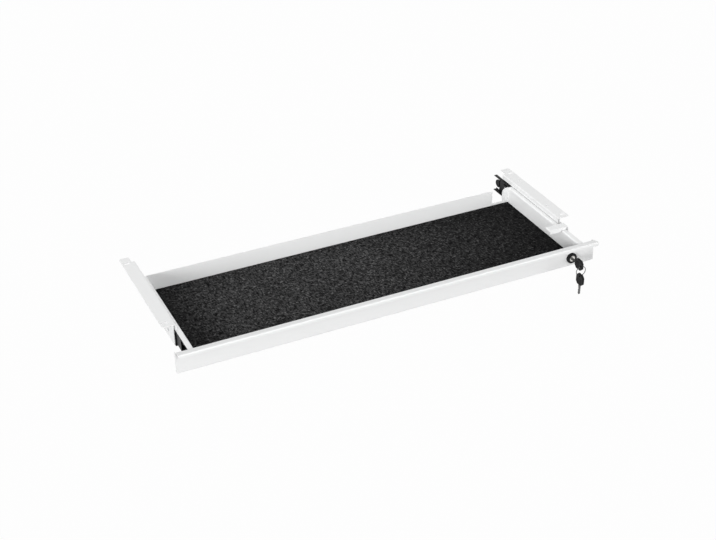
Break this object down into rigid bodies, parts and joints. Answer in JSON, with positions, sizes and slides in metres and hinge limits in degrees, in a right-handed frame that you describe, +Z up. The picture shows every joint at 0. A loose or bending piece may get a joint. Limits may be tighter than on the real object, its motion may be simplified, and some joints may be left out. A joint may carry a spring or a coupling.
{
  "type": "under desk drawer safe",
  "caption": "Shallow lockable steel drawer on ball-bearing slides, hung under a desk by two slotted brackets, with a felt mat, a lip grip and a cam lock with two keys.",
  "frame": {"origin": "middle of the desk's underside between the two brackets, at the height of the brackets' top faces", "axes": "+X to the right along the front, +Y from the front to the back, +Z up into the desk"},
  "size_m": [1, 0.437, 0.1167],
  "materials": {
    "white_coat": "fine-textured white powder coat, satin",
    "black_rail": "black electro-coated steel, semi-gloss",
    "ball_steel": "plain greased steel",
    "screw_steel": "bright zinc plate",
    "key_steel": "dark worn steel",
    "nickel": "polished nickel plate",
    "black_plastic": "moulded black plastic, fine grain",
    "black_felt": "pressed black felt with a short nap"
  },
  "bodies": {
    "desk_frame": {"left_bracket": "white_coat", "right_bracket": "white_coat", "lock_catch": "white_coat", "catch_screw_1": "screw_steel", "catch_screw_2": "screw_steel", "left_outer_rail": "black_rail", "right_outer_rail": "black_rail", "left_rail_stop": "black_plastic", "right_rail_stop": "black_plastic", "left_rail_screw_1": "white_coat", "left_rail_screw_2": "white_coat", "right_rail_screw_1": "white_coat", "right_rail_screw_2": "white_coat"},
    "drawer": {"tray": "white_coat", "tray_back": "white_coat", "tray_front": "white_coat", "front_panel": "white_coat", "mat": "black_felt", "left_inner_rail": "black_rail", "right_inner_rail": "black_rail", "left_tray_screw_1": "screw_steel", "left_tray_screw_2": "screw_steel", "right_tray_screw_1": "screw_steel", "right_tray_screw_2": "screw_steel", "lock_rosette": "black_plastic", "lock_body": "nickel", "lock_nut": "nickel"},
    "left_middle_rail_body": {"left_middle_rail": "black_rail"},
    "left_outer_cage_body": {"left_outer_cage": "ball_steel"},
    "left_inner_cage_body": {"left_inner_cage": "ball_steel"},
    "right_middle_rail_body": {"right_middle_rail": "black_rail"},
    "right_outer_cage_body": {"right_outer_cage": "ball_steel"},
    "right_inner_cage_body": {"right_inner_cage": "ball_steel"},
    "plug": {"lock_plug": "nickel", "lock_cam": "screw_steel", "cam_screw": "screw_steel"},
    "key": {"main_key_head": "black_plastic", "main_key_blade": "key_steel"},
    "ring": {"key_ring": "key_steel"},
    "spare_key": {"spare_key_head": "black_plastic", "spare_key_blade": "key_steel"}
  },
  "joints": [
    {"name": "drawer_slide", "type": "slide", "parent": "desk_frame", "child": "drawer", "axis": [0, -1, 0], "range_m": [-0.06, 0.19]},
    {"name": "left_middle_rail_slide", "type": "slide", "parent": "desk_frame", "child": "left_middle_rail_body", "axis": [0, -1, 0], "range_m": [-0.03, 0.095]},
    {"name": "left_outer_cage_slide", "type": "slide", "parent": "desk_frame", "child": "left_outer_cage_body", "axis": [0, -1, 0], "range_m": [-0.015, 0.0475]},
    {"name": "left_inner_cage_slide", "type": "slide", "parent": "desk_frame", "child": "left_inner_cage_body", "axis": [0, -1, 0], "range_m": [-0.0451, 0.1426]},
    {"name": "right_middle_rail_slide", "type": "slide", "parent": "desk_frame", "child": "right_middle_rail_body", "axis": [0, -1, 0], "range_m": [-0.03, 0.095]},
    {"name": "right_outer_cage_slide", "type": "slide", "parent": "desk_frame", "child": "right_outer_cage_body", "axis": [0, -1, 0], "range_m": [-0.015, 0.0475]},
    {"name": "right_inner_cage_slide", "type": "slide", "parent": "desk_frame", "child": "right_inner_cage_body", "axis": [0, -1, 0], "range_m": [-0.0451, 0.1426]},
    {"name": "plug_turn", "type": "hinge", "parent": "drawer", "child": "plug", "pos_m": [0.44, -0.2265, -0.042], "axis": [0, 1, 0], "range_deg": [0, 90]},
    {"name": "key_slide", "type": "slide", "parent": "plug", "child": "key", "axis": [0, -1, 0], "range_m": [0, 0.032]},
    {"name": "ring_swing", "type": "hinge", "parent": "key", "child": "ring", "pos_m": [0.44, -0.268, -0.0431], "axis": [1, 0, 0], "range_deg": [-60, 10]},
    {"name": "spare_key_swing", "type": "hinge", "parent": "ring", "child": "spare_key", "pos_m": [0.44, -0.268, -0.0671], "axis": [1, 0, 0], "range_deg": [-40, 10]}
  ],
  "couplings": [
    {"joint": "left_middle_rail_slide", "follows": "drawer_slide", "ratio": 0.5},
    {"joint": "left_outer_cage_slide", "follows": "drawer_slide", "ratio": 0.25},
    {"joint": "left_inner_cage_slide", "follows": "drawer_slide", "ratio": 0.75},
    {"joint": "right_middle_rail_slide", "follows": "drawer_slide", "ratio": 0.5},
    {"joint": "right_outer_cage_slide", "follows": "drawer_slide", "ratio": 0.25},
    {"joint": "right_inner_cage_slide", "follows": "drawer_slide", "ratio": 0.75}
  ]
}
